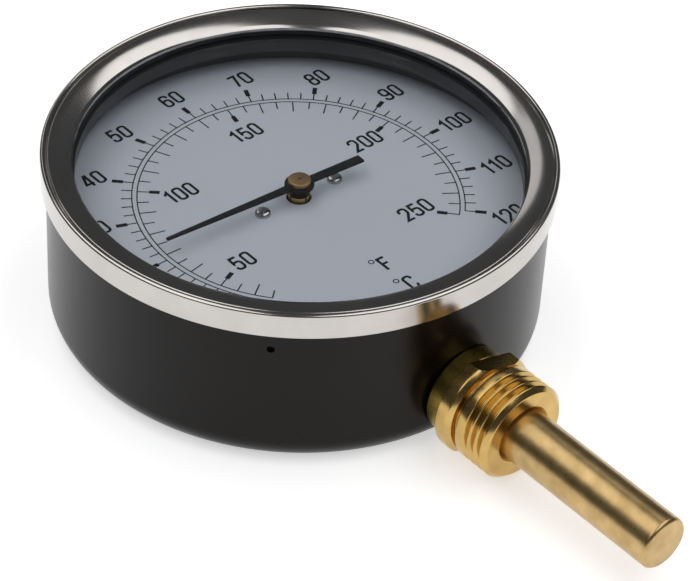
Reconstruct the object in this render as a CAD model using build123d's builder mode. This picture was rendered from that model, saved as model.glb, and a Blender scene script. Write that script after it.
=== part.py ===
"""Dial thermometer with a bottom stem and a brass screw-in pocket.

Frame: +Z out of the dial, origin at the centre of the case back, stem along -Y,
three o'clock along +X. Millimetres.
"""
from build123d import *
import math
import os

os.makedirs("parts", exist_ok=True)

# ---------------------------------------------------------------- driving sizes
# Case: a drawn steel cup
case_radius = 51.3
case_wall = 1.0
case_corner = 6.0
case_height = 36.2
mouth_bead = 0.45
mouth_bead_height = 1.6
vent_radius = 0.8
vent_drop = 6.6
vent_angle = -135.9

# Bezel: one folded ring that snaps over the mouth bead
bezel_sheet = 0.6
bezel_height = 5.6
roll_radius = 0.55
fold_width = 0.35
fold_depth = 0.4
lip_radius = 45.9
lip_drop = 1.9
lip_edge = 0.7
face_crown = 0.25
face_rise = 0.15
crown_shift = 0.3
lip_round = 0.4
lip_ease = 0.3
fold_ease = 0.2

# Dial, spacer, window and seal, stacked from the dial up
dial_depth = 10.2
dial_thickness = 0.5
dial_hole = 2.6
spacer_height = 7.4
spacer_wall = 1.2
spacer_window = 45.5
spacer_leg = 0.8
spacer_lip_height = 3.3
glass_thickness = 2.0
seal_thickness = 1.2
glass_chamfer = 0.25

# Dial reading and pointer
rest_temperature = 21.6
full_temperature = 120.0
sweep_span = 270.0
pointer_reach = 32.5
pointer_tail = 15.8
tip_width = 0.75
waist_width = 2.0
tail_width = 2.2
pointer_thickness = 0.45
hub_radius = 3.05
hub_thickness = 0.7
pointer_lift = 2.9
boss_radius = 1.5
boss_length = 1.3
cap_radius = 2.4
cap_height = 1.0
cap_slot = 0.5

# Movement
spindle_radius = 0.75
pivot_radius = 0.4
pivot_gap = 0.2
pivot_rise = 1.0
flange_thickness = 0.8
small_chamfer = 0.3
gear_teeth = 16
gear_pitch_radius = 4.0
gear_face_share = 0.65
gear_backlash = 0.2
gear_addendum = 0.36
gear_dedendum = 0.6
gear_root_clearance = 0.15
gear_flank = 20.0
gear_hub_radius = 1.8
gear_hub_length = 1.6
plate_thickness = 1.2
base_half_width = 14.0
base_front = 24.0
base_rear = 10.0
bridge_drop = 7.5
bridge_half_width = 13.0
bridge_half_depth = 5.0
pillar_spacing = 19.0
pillar_radius = 2.8
post_radius = 2.2
stud_radius = 1.0
stud_length = 3.0
dial_screw_head = 1.65
dial_screw_rise = 1.0
dial_screw_length = 4.0
bush_radius = 2.0
bush_collar = 2.2
bush_rise = 1.1
bush_slot = 0.4
foot_radius = 1.5
foot_flange = 2.2
bracket_distance = 12.0
bracket_half_width = 6.0
bracket_foot = 7.0
bracket_rise = 5.0
bracket_corner = 0.6
bracket_screw_spacing = 7.0
shaft_bush_radius = 1.6
shaft_bush_flange = 2.3
shaft_bush_length = 3.0
shaft_collar_length = 2.0

# Stem: socket, inner tube, bimetal coil
stem_height = 11.3
neck_radius = 9.6
neck_length = 4.2
tenon_radius = 7.0
tenon_length = 7.5
nut_flats = 17.0
nut_thickness = 4.0
nut_face = 48.7
washer_radius = 8.4
spigot_radius = 7.4
spigot_length = 6.8
socket_shoulder = 1.0
tube_radius = 4.5
tube_wall = 0.4
tube_start = 50.0
tube_tip = 105.0
shaft_radius = 0.75
shaft_end = 65.0
coil_hub_length = 3.6
hub_cover = 3.0
guide_length = 4.0
coil_radius = 3.2
coil_pitch = 2.6
coil_turns = 14
strip_width = 1.9
strip_thickness = 0.25
anchor_stub = 4.0
anchor_cover = 1.0
tip_thickness = 0.8

# Pocket: threaded body and closed tube (G 1/2, 14 turns to the inch)
collar_radius = 11.1
collar_length = 3.7
collar_chamfer = 0.95
spanner_flats = 19.0
spanner_angle = 74.3
relief_radius = 9.0
relief_length = 1.1
thread_radius = 10.4775
thread_pitch = 25.4 / 14
thread_depth = 1.162
thread_crest = 0.36
thread_turns = 3
thread_root = 0.2
lead_flank = 0.35
lead_crest = 1.9
thread_chamfer = 1.0
countersink = 0.8
well_radius = 5.6
well_wall = 1.02
well_end = 107.5
well_floor = 1.2
well_corner = 0.9
grub_radius = 1.25
grub_length = 3.4
grub_slot = 0.4
grub_setback = 1.75

# ---------------------------------------------------------------- clearances
running = 0.05     # radial, round parts that turn or slide
seat = 0.02        # radial, parts that are pressed, soldered or screwed together
end_float = 0.1    # along an axle
rim_gap = 0.2      # round the dial, glass and spacer inside the case

# ---------------------------------------------------------------- derived places
case_bore = case_radius - case_wall
bead_radius = case_radius + mouth_bead
skirt_bore = bead_radius + 2 * running
skirt_radius = skirt_bore + bezel_sheet
stack_radius = case_bore - rim_gap
dial_face = case_height - dial_depth
vent_height = case_height - vent_drop
bridge_level = dial_face - bridge_drop
glass_bottom = dial_face + spacer_height
glass_top = glass_bottom + glass_thickness
seal_top = glass_top + seal_thickness
lip_top = seal_top + lip_edge
bezel_top = lip_top + lip_drop
bezel_bottom = bezel_top - bezel_height
dial_underside = dial_face - dial_thickness
plate_top = case_wall + plate_thickness
bridge_top = bridge_level + plate_thickness
pillar_x = pillar_spacing / 2
hub_bottom = dial_face + pointer_lift
hub_top = hub_bottom + hub_thickness
rest_angle = 225 - sweep_span * rest_temperature / full_temperature
case_face = case_radius
neck_end = case_face + neck_length
tenon_end = case_face - tenon_length
spigot_end = neck_end + spigot_length
collar_end = neck_end + collar_length
thread_start = collar_end + relief_length
thread_end = thread_start + lead_flank + lead_crest + thread_turns * thread_pitch + thread_chamfer
tube_bore = tube_radius - tube_wall
well_bore = well_radius - well_wall
spigot_seat = spigot_radius + running
pocket_step = spigot_end + end_float
coil_start = shaft_end - hub_cover
coil_end = coil_start + coil_pitch * coil_turns
spindle_axis = Axis.Z
stem_axis = Axis((0, 0, stem_height), (0, -1, 0))
# local x runs out along the stem, local y is the distance above its axis
stem_side = Plane(origin=(0, 0, stem_height), x_dir=(0, -1, 0), z_dir=(-1, 0, 0))


def stem_section(distance):
    """Plane across the stem, facing outwards, at a distance from the dial axis."""
    return Plane(origin=(0, -distance, stem_height), x_dir=(1, 0, 0), z_dir=(0, -1, 0))


def ring_sketch(outer, inner):
    """A flat ring, drawn in the sketch that is open."""
    Circle(outer)
    Circle(inner, mode=Mode.SUBTRACT)


def gear_axial(distance, offset):
    """Radius and height from the apex of a point on the 45 degree cone, moved off it by offset."""
    along = distance * math.sqrt(0.5)
    across = offset * math.sqrt(0.5)
    return along + across, along - across


# ---------------------------------------------------------------- case
with BuildPart() as case_cavity:
    with BuildSketch(Plane.XY.offset(case_wall)):
        Circle(case_bore)
    extrude(amount=case_height)
    fillet(case_cavity.edges().group_by(Axis.Z)[0], case_corner - case_wall)

with BuildPart() as case_shell:
    with BuildSketch():
        Circle(case_radius)
    extrude(amount=case_height)
    fillet(case_shell.edges().group_by(Axis.Z)[0], case_corner)
    with BuildSketch(Plane.XY.offset(case_height - mouth_bead_height)):
        Circle(bead_radius)
    extrude(amount=mouth_bead_height)
    fillet(case_shell.edges().filter_by(GeomType.CIRCLE).group_by(SortBy.RADIUS)[-1], mouth_bead * 0.8)
    add(case_cavity.part, mode=Mode.SUBTRACT)
    with BuildSketch(stem_section(0)):
        Circle(tenon_radius + running)
    extrude(amount=case_radius + 1, mode=Mode.SUBTRACT)
    vent_plane = Plane(origin=(0, 0, vent_height), x_dir=(0, 0, 1),
                       z_dir=(math.cos(math.radians(vent_angle)), math.sin(math.radians(vent_angle)), 0))
    with BuildSketch(vent_plane):
        Circle(vent_radius)
    extrude(amount=case_radius + 1, mode=Mode.SUBTRACT)
case_shell.part.label = "case_shell"
export_step(case_shell.part, "parts/case_shell.step")

# ---------------------------------------------------------------- bezel
roll_level = bezel_top - roll_radius
fold_outer = skirt_radius - 2 * roll_radius
fold_inner = fold_outer - fold_width
fold_floor = roll_level - fold_depth
fold_under = fold_floor - bezel_sheet
face_edge = roll_level + face_rise
crown_radius = (fold_inner + lip_radius) / 2 + crown_shift
crown_level = face_edge - face_crown
lip_inside = lip_radius + bezel_sheet

with BuildPart() as bezel_ring:
    with BuildSketch(Plane.XZ):
        with BuildLine():
            Polyline((skirt_bore, bezel_bottom), (skirt_radius, bezel_bottom), (skirt_radius, roll_level))
            ThreePointArc((skirt_radius, roll_level), (skirt_radius - roll_radius, bezel_top),
                          (fold_outer, roll_level))
            Polyline((fold_outer, roll_level), (fold_outer, fold_floor), (fold_inner, fold_floor),
                     (fold_inner, face_edge))
            ThreePointArc((fold_inner, face_edge), (crown_radius, crown_level),
                          (lip_radius + lip_round, lip_top + lip_ease))
            Polyline((lip_radius + lip_round, lip_top + lip_ease), (lip_radius, lip_top - 0.1), (lip_radius, seal_top),
                     (lip_inside, seal_top), (lip_inside + fold_ease, seal_top + fold_ease))
            ThreePointArc((lip_inside + fold_ease, seal_top + fold_ease), (crown_radius, crown_level - bezel_sheet),
                          (fold_inner - lip_ease, fold_under))
            Polyline((fold_inner - lip_ease, fold_under), (skirt_bore, fold_under), (skirt_bore, bezel_bottom))
        make_face()
    revolve(axis=spindle_axis)
bezel_ring.part.label = "bezel_ring"
export_step(bezel_ring.part, "parts/bezel_ring.step")

# ---------------------------------------------------------------- window stack
with BuildPart() as window_seal:
    with BuildSketch(Plane.XY.offset(glass_top)):
        ring_sketch(stack_radius, lip_radius + running)
    extrude(amount=seal_thickness)
window_seal.part.label = "window_seal"
export_step(window_seal.part, "parts/window_seal.step")

with BuildPart() as window_glass:
    with BuildSketch(Plane.XY.offset(glass_bottom)):
        Circle(stack_radius)
    extrude(amount=glass_thickness)
    chamfer(window_glass.edges(), glass_chamfer)
window_glass.part.label = "window_glass"
export_step(window_glass.part, "parts/window_glass.step")

with BuildPart() as spacer_ring:
    with BuildSketch(Plane.XZ):
        with BuildLine():
            lip_level = glass_bottom - spacer_lip_height
            Polyline((spacer_window, lip_level), (spacer_window, glass_bottom),
                     (stack_radius, glass_bottom), (stack_radius, dial_face),
                     (stack_radius - spacer_leg, dial_face),
                     (stack_radius - spacer_leg, glass_bottom - spacer_wall),
                     (spacer_window + spacer_wall, glass_bottom - spacer_wall),
                     (spacer_window + spacer_wall, lip_level), (spacer_window, lip_level))
        make_face()
    revolve(axis=spindle_axis)
    lip_edges = spacer_ring.edges().filter_by(GeomType.CIRCLE).filter_by(
        lambda edge: abs(edge.center().Z - lip_level) < 0.01)
    fillet(lip_edges, spacer_wall * 0.4)
spacer_ring.part.label = "spacer_ring"
export_step(spacer_ring.part, "parts/spacer_ring.step")

# ---------------------------------------------------------------- dial
with BuildPart() as dial_plate:
    with BuildSketch(Plane.XY.offset(dial_underside)):
        Circle(stack_radius)
        Circle(dial_hole, mode=Mode.SUBTRACT)
        with GridLocations(pillar_spacing, 0, 2, 1):
            Circle(stud_radius + running, mode=Mode.SUBTRACT)
    extrude(amount=dial_thickness)
dial_plate.part.label = "dial_plate"
export_step(dial_plate.part, "parts/dial_plate.step")

with BuildPart() as dial_screws:
    with BuildSketch(Plane.XY.offset(dial_face)):
        with GridLocations(pillar_spacing, 0, 2, 1):
            Circle(dial_screw_head)
    extrude(amount=dial_screw_rise)
    fillet(dial_screws.edges().group_by(Axis.Z)[-1], dial_screw_rise * 0.6)
    with BuildSketch(Plane.XY.offset(dial_face - dial_screw_length)):
        with GridLocations(pillar_spacing, 0, 2, 1):
            Circle(stud_radius)
    extrude(amount=dial_screw_length)
    with BuildSketch(Plane.XY.offset(dial_face + dial_screw_rise)):
        with GridLocations(pillar_spacing, 0, 2, 1):
            Rectangle(2 * dial_screw_head, cap_slot, rotation=35)
    extrude(amount=-0.4 * dial_screw_rise, mode=Mode.SUBTRACT)
dial_screws.part.label = "dial_screws"
export_step(dial_screws.part, "parts/dial_screws.step")

# ---------------------------------------------------------------- pointer
pointer_plane = Plane(origin=(0, 0, hub_bottom), z_dir=(0, 0, 1),
                      x_dir=(math.cos(math.radians(rest_angle)), math.sin(math.radians(rest_angle)), 0))

with BuildPart() as pointer:
    with BuildSketch(pointer_plane.offset(0.1)):
        Polygon((pointer_reach, tip_width / 2), (0, waist_width / 2), (-pointer_tail, tail_width / 2),
                (-pointer_tail, -tail_width / 2), (0, -waist_width / 2), (pointer_reach, -tip_width / 2),
                align=None)
    extrude(amount=pointer_thickness)
    with BuildSketch(pointer_plane):
        Circle(hub_radius)
    extrude(amount=hub_thickness)
    with BuildSketch(pointer_plane):
        Circle(boss_radius)
    extrude(amount=-boss_length)
    with BuildSketch(pointer_plane.offset(-boss_length)):
        Circle(spindle_radius + seat)
    extrude(amount=boss_length + hub_thickness, mode=Mode.SUBTRACT)
pointer.part.label = "pointer"
export_step(pointer.part, "parts/pointer.step")

with BuildPart() as pointer_cap:
    with BuildSketch(pointer_plane.offset(hub_thickness)):
        Circle(cap_radius)
    extrude(amount=cap_height)
    fillet(pointer_cap.edges().group_by(Axis.Z)[-1], cap_height * 0.45)
    with BuildSketch(pointer_plane.offset(hub_thickness + cap_height)):
        Rectangle(cap_radius * 0.9, cap_slot)
    extrude(amount=-0.4 * cap_height, mode=Mode.SUBTRACT)
pointer_cap.part.label = "pointer_cap"
export_step(pointer_cap.part, "parts/pointer_cap.step")

# ---------------------------------------------------------------- mitre gears
cone_distance = gear_pitch_radius * math.sqrt(2)
inner_distance = cone_distance * gear_face_share
tooth_half_width = (math.pi * gear_pitch_radius / gear_teeth - gear_backlash) / 2
flank_slope = math.tan(math.radians(gear_flank))
root_half_width = tooth_half_width + gear_dedendum * flank_slope
tip_half_width = tooth_half_width - gear_addendum * flank_slope
root_outer = gear_axial(cone_distance, -gear_dedendum)
root_inner = gear_axial(inner_distance, -gear_dedendum * gear_face_share)


def tooth_plane(distance):
    """Plane across a tooth on the pitch cone, local y towards the tip."""
    return Plane(origin=(distance * math.sqrt(0.5), 0, distance * math.sqrt(0.5)),
                 x_dir=(0, -1, 0), z_dir=(math.sqrt(0.5), 0, math.sqrt(0.5)))


def tooth_outline(scale):
    """Trapezoid tooth section in the open sketch, rooted a little inside the blank."""
    root = (gear_dedendum + gear_root_clearance) * scale
    tip = gear_addendum * scale
    Polygon((-root_half_width * scale, -root), (root_half_width * scale, -root),
            (tip_half_width * scale, tip), (-tip_half_width * scale, tip), align=None)


def gear_angle(index, phase):
    """Turn of one tooth about the gear's axis."""
    return (index + phase) * 360 / gear_teeth


# A mitre gear about +Z whose pitch cone has its apex at the origin
with BuildPart() as mitre_tooth:
    with BuildSketch(tooth_plane(cone_distance)):
        tooth_outline(1)
    with BuildSketch(tooth_plane(inner_distance)):
        tooth_outline(gear_face_share)
    loft()

gear_back = root_outer[1] + gear_dedendum * 0.6
gear_hub_end = gear_back + gear_hub_length
with BuildPart() as mitre_blank:
    with BuildSketch(Plane.XZ):
        Polygon((spindle_radius + seat, root_inner[1]), root_inner, root_outer,
                (root_outer[0] - gear_dedendum * 0.6, gear_back), (gear_hub_radius, gear_back),
                (gear_hub_radius, gear_hub_end), (spindle_radius + seat, gear_hub_end), align=None)
    revolve(axis=spindle_axis)

with BuildPart() as spindle_gear:
    with Locations((0, 0, stem_height)):
        add(mitre_blank.part)
        for index in range(gear_teeth):
            add(mitre_tooth.part.rotate(Axis.Z, gear_angle(index, 0)))
spindle_gear.part.label = "spindle_gear"
export_step(spindle_gear.part, "parts/spindle_gear.step")

with BuildPart() as shaft_gear:
    with Locations(Location((0, 0, stem_height), (90, 0, 0))):
        add(mitre_blank.part)
        for index in range(gear_teeth):
            add(mitre_tooth.part.rotate(Axis.Z, gear_angle(index, 0.5)))
shaft_gear.part.label = "shaft_gear"
export_step(shaft_gear.part, "parts/shaft_gear.step")

# ---------------------------------------------------------------- spindle and its bearings
spindle_hub_top = stem_height + gear_hub_end
bush_bottom = spindle_hub_top + end_float
pivot_bottom = plate_top + pivot_gap

with BuildPart() as pointer_spindle:
    with BuildSketch(Plane.XY.offset(plate_top + pivot_rise)):
        Circle(spindle_radius)
    extrude(amount=hub_top - plate_top - pivot_rise)
    with BuildSketch(Plane.XY.offset(pivot_bottom)):
        Circle(pivot_radius)
    extrude(amount=plate_top + pivot_rise - pivot_bottom)
pointer_spindle.part.label = "pointer_spindle"
export_step(pointer_spindle.part, "parts/pointer_spindle.step")

with BuildPart() as spindle_bush:
    with BuildSketch(Plane.XY.offset(bush_bottom)):
        Circle(bush_radius)
    extrude(amount=dial_face - bush_bottom)
    with BuildSketch(Plane.XY.offset(bridge_top)):
        Circle(bush_collar)
    extrude(amount=dial_face + bush_rise - bridge_top)
    with BuildSketch(Plane.XY.offset(dial_face + bush_rise)):
        with PolarLocations(0, 4):
            Rectangle(bush_collar * 2.2, bush_slot)
    extrude(amount=-bush_rise * 0.8, mode=Mode.SUBTRACT)
    with BuildSketch(Plane.XY.offset(bush_bottom)):
        Circle(spindle_radius + running)
    extrude(amount=dial_face + bush_rise - bush_bottom, mode=Mode.SUBTRACT)
spindle_bush.part.label = "spindle_bush"
export_step(spindle_bush.part, "parts/spindle_bush.step")

with BuildPart() as foot_bearing:
    with BuildSketch(Plane.XY.offset(case_wall)):
        Circle(foot_radius)
    extrude(amount=plate_thickness)
    with BuildSketch(Plane.XY.offset(plate_top)):
        Circle(foot_flange)
    extrude(amount=flange_thickness)
    with BuildSketch(Plane.XY.offset(pivot_bottom - end_float)):
        Circle(pivot_radius + running)
    extrude(amount=2, mode=Mode.SUBTRACT)
foot_bearing.part.label = "foot_bearing"
export_step(foot_bearing.part, "parts/foot_bearing.step")

# ---------------------------------------------------------------- movement frame
bracket_screw_y = -(bracket_distance + plate_thickness / 2 + bracket_foot * 0.55)

with BuildPart() as base_plate:
    with BuildSketch(Plane.XY.offset(case_wall)):
        with Locations((0, (base_rear - base_front) / 2)):
            RectangleRounded(2 * base_half_width, base_front + base_rear, 3)
        Circle(foot_radius + seat, mode=Mode.SUBTRACT)
        with GridLocations(pillar_spacing, 0, 2, 1):
            Circle(stud_radius + seat, mode=Mode.SUBTRACT)
        with Locations((0, bracket_screw_y)):
            with GridLocations(bracket_screw_spacing, 0, 2, 1):
                Circle(stud_radius + seat, mode=Mode.SUBTRACT)
    extrude(amount=plate_thickness)
base_plate.part.label = "base_plate"
export_step(base_plate.part, "parts/base_plate.step")

with BuildPart() as movement_pillars:
    with BuildSketch(Plane.XY.offset(plate_top)):
        with GridLocations(pillar_spacing, 0, 2, 1):
            Circle(pillar_radius)
    extrude(amount=bridge_level - plate_top)
    chamfer(movement_pillars.edges().group_by(Axis.Z)[-1], small_chamfer)
    with BuildSketch(Plane.XY.offset(case_wall)):
        with GridLocations(pillar_spacing, 0, 2, 1):
            Circle(stud_radius)
    extrude(amount=plate_thickness)
    with BuildSketch(Plane.XY.offset(bridge_level)):
        with GridLocations(pillar_spacing, 0, 2, 1):
            Circle(stud_radius + seat)
    extrude(amount=-stud_length, mode=Mode.SUBTRACT)
movement_pillars.part.label = "movement_pillars"
export_step(movement_pillars.part, "parts/movement_pillars.step")

with BuildPart() as bridge_plate:
    with BuildSketch(Plane.XY.offset(bridge_level)):
        RectangleRounded(2 * bridge_half_width, 2 * bridge_half_depth, 3)
        Circle(bush_radius + seat, mode=Mode.SUBTRACT)
        with GridLocations(pillar_spacing, 0, 2, 1):
            Circle(stud_radius + seat, mode=Mode.SUBTRACT)
    extrude(amount=plate_thickness)
bridge_plate.part.label = "bridge_plate"
export_step(bridge_plate.part, "parts/bridge_plate.step")

with BuildPart() as dial_posts:
    with BuildSketch(Plane.XY.offset(bridge_top)):
        with GridLocations(pillar_spacing, 0, 2, 1):
            Circle(post_radius)
    extrude(amount=dial_underside - bridge_top)
    with BuildSketch(Plane.XY.offset(bridge_top)):
        with GridLocations(pillar_spacing, 0, 2, 1):
            Circle(stud_radius)
    extrude(amount=-(plate_thickness + stud_length - end_float))
    with BuildSketch(Plane.XY.offset(dial_underside)):
        with GridLocations(pillar_spacing, 0, 2, 1):
            Circle(stud_radius + seat)
    extrude(amount=-dial_screw_length, mode=Mode.SUBTRACT)
dial_posts.part.label = "dial_posts"
export_step(dial_posts.part, "parts/dial_posts.step")

# ---------------------------------------------------------------- shaft bracket and bush
bracket_face = bracket_distance - plate_thickness / 2
bracket_back = bracket_distance + plate_thickness / 2

with BuildPart() as shaft_bracket:
    with BuildSketch(stem_section(bracket_face)):
        with Locations((0, (plate_top - stem_height + bracket_rise) / 2)):
            RectangleRounded(2 * bracket_half_width, stem_height - plate_top + bracket_rise, bracket_corner)
        Circle(shaft_bush_radius + seat, mode=Mode.SUBTRACT)
    extrude(amount=plate_thickness)
    with BuildSketch(Plane.XY.offset(plate_top)):
        with Locations((0, -bracket_face - (plate_thickness + bracket_foot) / 2)):
            Rectangle(2 * bracket_half_width, plate_thickness + bracket_foot)
        with Locations((0, bracket_screw_y)):
            with GridLocations(bracket_screw_spacing, 0, 2, 1):
                Circle(stud_radius + seat, mode=Mode.SUBTRACT)
    extrude(amount=plate_thickness)
shaft_bracket.part.label = "shaft_bracket"
export_step(shaft_bracket.part, "parts/shaft_bracket.step")

with BuildPart() as bracket_screws:
    with BuildSketch(Plane.XY.offset(plate_top + plate_thickness)):
        with Locations((0, bracket_screw_y)):
            with GridLocations(bracket_screw_spacing, 0, 2, 1):
                Circle(dial_screw_head)
    extrude(amount=dial_screw_rise)
    fillet(bracket_screws.edges().group_by(Axis.Z)[-1], dial_screw_rise * 0.5)
    with BuildSketch(Plane.XY.offset(case_wall)):
        with Locations((0, bracket_screw_y)):
            with GridLocations(bracket_screw_spacing, 0, 2, 1):
                Circle(stud_radius)
    extrude(amount=2 * plate_thickness)
bracket_screws.part.label = "bracket_screws"
export_step(bracket_screws.part, "parts/bracket_screws.step")

with BuildPart() as shaft_bush:
    with BuildSketch(stem_section(bracket_back - shaft_bush_length)):
        Circle(shaft_bush_radius)
    extrude(amount=shaft_bush_length)
    with BuildSketch(stem_section(bracket_back)):
        Circle(shaft_bush_flange)
    extrude(amount=flange_thickness)
    with BuildSketch(stem_section(bracket_back - shaft_bush_length)):
        Circle(shaft_radius + running)
    extrude(amount=shaft_bush_length + flange_thickness, mode=Mode.SUBTRACT)
shaft_bush.part.label = "shaft_bush"
export_step(shaft_bush.part, "parts/shaft_bush.step")

# ---------------------------------------------------------------- stem shaft
collar_seat = bracket_back + flange_thickness + end_float

with BuildPart() as stem_shaft:
    with BuildSketch(stem_section(root_inner[1])):
        Circle(shaft_radius)
    extrude(amount=shaft_end - root_inner[1])
stem_shaft.part.label = "stem_shaft"
export_step(stem_shaft.part, "parts/stem_shaft.step")

with BuildPart() as shaft_collar:
    with BuildSketch(stem_section(collar_seat)):
        ring_sketch(gear_hub_radius, shaft_radius + seat)
    extrude(amount=shaft_collar_length)
shaft_collar.part.label = "shaft_collar"
export_step(shaft_collar.part, "parts/shaft_collar.step")

# ---------------------------------------------------------------- bimetal coil and its ends
coil_inside = coil_radius - strip_thickness / 2

with BuildPart() as coil_hub:
    with BuildSketch(stem_section(shaft_end - coil_hub_length)):
        ring_sketch(coil_inside - 2 * running, shaft_radius + seat)
    extrude(amount=coil_hub_length)
coil_hub.part.label = "coil_hub"
export_step(coil_hub.part, "parts/coil_hub.step")

with BuildPart() as bimetal_coil:
    with BuildLine() as coil_path:
        Helix(coil_pitch, coil_pitch * coil_turns, coil_radius, center=(0, -coil_start, stem_height),
              direction=(0, -1, 0))
    path_start = coil_path.line @ 0
    path_radial = path_start - Vector(0, -coil_start, stem_height)
    with BuildSketch(Plane(origin=path_start, x_dir=path_radial, z_dir=coil_path.line % 0)):
        Rectangle(strip_thickness, strip_width)
    sweep(path=coil_path.line, is_frenet=True)
bimetal_coil.part.label = "bimetal_coil"
export_step(bimetal_coil.part, "parts/bimetal_coil.step")

with BuildPart() as coil_anchor:
    with BuildSketch(stem_section(coil_end - anchor_cover)):
        Circle(coil_inside - 2 * running)
    extrude(amount=tube_tip - coil_end + anchor_cover - anchor_stub)
    with BuildSketch(stem_section(tube_tip - anchor_stub)):
        Circle(tube_bore - seat)
    extrude(amount=anchor_stub)
    with BuildSketch(stem_section(tube_tip)):
        Circle(tube_radius)
    extrude(amount=tip_thickness)
    fillet(coil_anchor.edges().group_by(Axis.Y)[0], tip_thickness / 2)
coil_anchor.part.label = "coil_anchor"
export_step(coil_anchor.part, "parts/coil_anchor.step")

with BuildPart() as stem_tube:
    with BuildSketch(stem_section(tube_start)):
        ring_sketch(tube_radius, tube_bore)
    extrude(amount=tube_tip - tube_start)
stem_tube.part.label = "stem_tube"
export_step(stem_tube.part, "parts/stem_tube.step")

with BuildPart() as guide_bush:
    with BuildSketch(stem_section(tube_start)):
        ring_sketch(tube_bore - seat, shaft_radius + running)
    extrude(amount=guide_length)
guide_bush.part.label = "guide_bush"
export_step(guide_bush.part, "parts/guide_bush.step")

# ---------------------------------------------------------------- socket, nut and washer
with BuildPart() as stem_socket:
    with BuildSketch(stem_section(case_face)):
        Circle(neck_radius)
    extrude(amount=neck_length)
    chamfer(stem_socket.edges().filter_by(GeomType.CIRCLE), small_chamfer)
    with BuildSketch(stem_section(tenon_end)):
        Circle(tenon_radius)
    extrude(amount=tenon_length)
    with BuildSketch(stem_section(neck_end)):
        Circle(spigot_radius)
    extrude(amount=spigot_length)
    with BuildSketch(stem_section(tube_start)):
        Circle(tube_radius + seat)
    extrude(amount=spigot_end - tube_start, mode=Mode.SUBTRACT)
    with BuildSketch(stem_section(tenon_end)):
        Circle(tube_bore - socket_shoulder)
    extrude(amount=tube_start - tenon_end, mode=Mode.SUBTRACT)
stem_socket.part.label = "stem_socket"
export_step(stem_socket.part, "parts/stem_socket.step")

with BuildPart() as socket_nut:
    with BuildSketch(stem_section(nut_face - nut_thickness)):
        RegularPolygon(nut_flats / 2, 6, major_radius=False)
        Circle(tenon_radius + seat, mode=Mode.SUBTRACT)
    extrude(amount=nut_thickness)
socket_nut.part.label = "socket_nut"
export_step(socket_nut.part, "parts/socket_nut.step")

with BuildPart() as saddle_washer:
    with BuildSketch(stem_section(nut_face)):
        ring_sketch(washer_radius, tenon_radius + 2 * seat)
    extrude(amount=case_radius - nut_face)
    add(case_cavity.part, mode=Mode.INTERSECT)
saddle_washer.part.label = "saddle_washer"
export_step(saddle_washer.part, "parts/saddle_washer.step")

# ---------------------------------------------------------------- pocket
grub_place = neck_end + grub_setback
grub_axis = Plane(origin=(0, -grub_place, stem_height), x_dir=(0, -1, 0),
                  z_dir=Vector(1, 0, 0).rotate(Axis.Y, 90 - spanner_angle))
thread_core = thread_radius - thread_depth
thread_flank = (thread_pitch - thread_crest - thread_root) / 2


def pocket_outline():
    """Half section of the collar, relief and ringed thread, out from the neck end."""
    points = [(neck_end, well_radius + seat), (neck_end, collar_radius),
              (collar_end - collar_chamfer, collar_radius),
              (collar_end, collar_radius - collar_chamfer), (collar_end, relief_radius),
              (thread_start, relief_radius), (thread_start + lead_flank, thread_radius)]
    place = thread_start + lead_flank + lead_crest
    points.append((place, thread_radius))
    for turn in range(thread_turns):
        points.append((place + thread_flank, thread_core))
        points.append((place + thread_flank + thread_root, thread_core))
        points.append((place + 2 * thread_flank + thread_root, thread_radius))
        place += thread_pitch
        points.append((place, thread_radius))
    points.append((thread_end, thread_radius - thread_chamfer))
    points.append((thread_end, well_radius + countersink))
    points.append((thread_end - countersink, well_radius + seat))
    return points


with BuildPart() as pocket_body:
    with BuildSketch(stem_side):
        with BuildLine():
            Polyline(*pocket_outline(), close=True)
        make_face()
    revolve(axis=stem_axis)
    with BuildSketch(stem_section(neck_end)):
        Circle(spigot_seat)
    extrude(amount=pocket_step - neck_end, mode=Mode.SUBTRACT)
    # two spanner flats across the collar
    with BuildSketch(stem_section(neck_end)):
        with Locations(Rotation(0, 0, spanner_angle)):
            with GridLocations(spanner_flats + collar_radius, 0, 2, 1):
                Rectangle(collar_radius, 3 * collar_radius)
    extrude(amount=collar_length, mode=Mode.SUBTRACT)
    with BuildSketch(grub_axis):
        Circle(grub_radius + seat)
    extrude(amount=collar_radius + 1, mode=Mode.SUBTRACT)
pocket_body.part.label = "pocket_body"
export_step(pocket_body.part, "parts/pocket_body.step")

with BuildPart() as pocket_tube:
    with BuildSketch(stem_section(pocket_step)):
        Circle(well_radius)
    extrude(amount=well_end - pocket_step)
    fillet(pocket_tube.edges().group_by(Axis.Y)[0], well_corner)
    with BuildSketch(stem_section(pocket_step)):
        Circle(well_bore)
    extrude(amount=well_end - well_floor - pocket_step, mode=Mode.SUBTRACT)
pocket_tube.part.label = "pocket_tube"
export_step(pocket_tube.part, "parts/pocket_tube.step")

with BuildPart() as pocket_screw:
    with BuildSketch(grub_axis.offset(spigot_seat + seat)):
        Circle(grub_radius)
    extrude(amount=grub_length)
    with BuildSketch(grub_axis.offset(spigot_seat + seat + grub_length)):
        Rectangle(2.2 * grub_radius, grub_slot)
    extrude(amount=-grub_slot, mode=Mode.SUBTRACT)
pocket_screw.part.label = "pocket_screw"
export_step(pocket_screw.part, "parts/pocket_screw.step")
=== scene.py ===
import math

import bmesh
import bpy
from mathutils import Matrix, Vector


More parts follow.
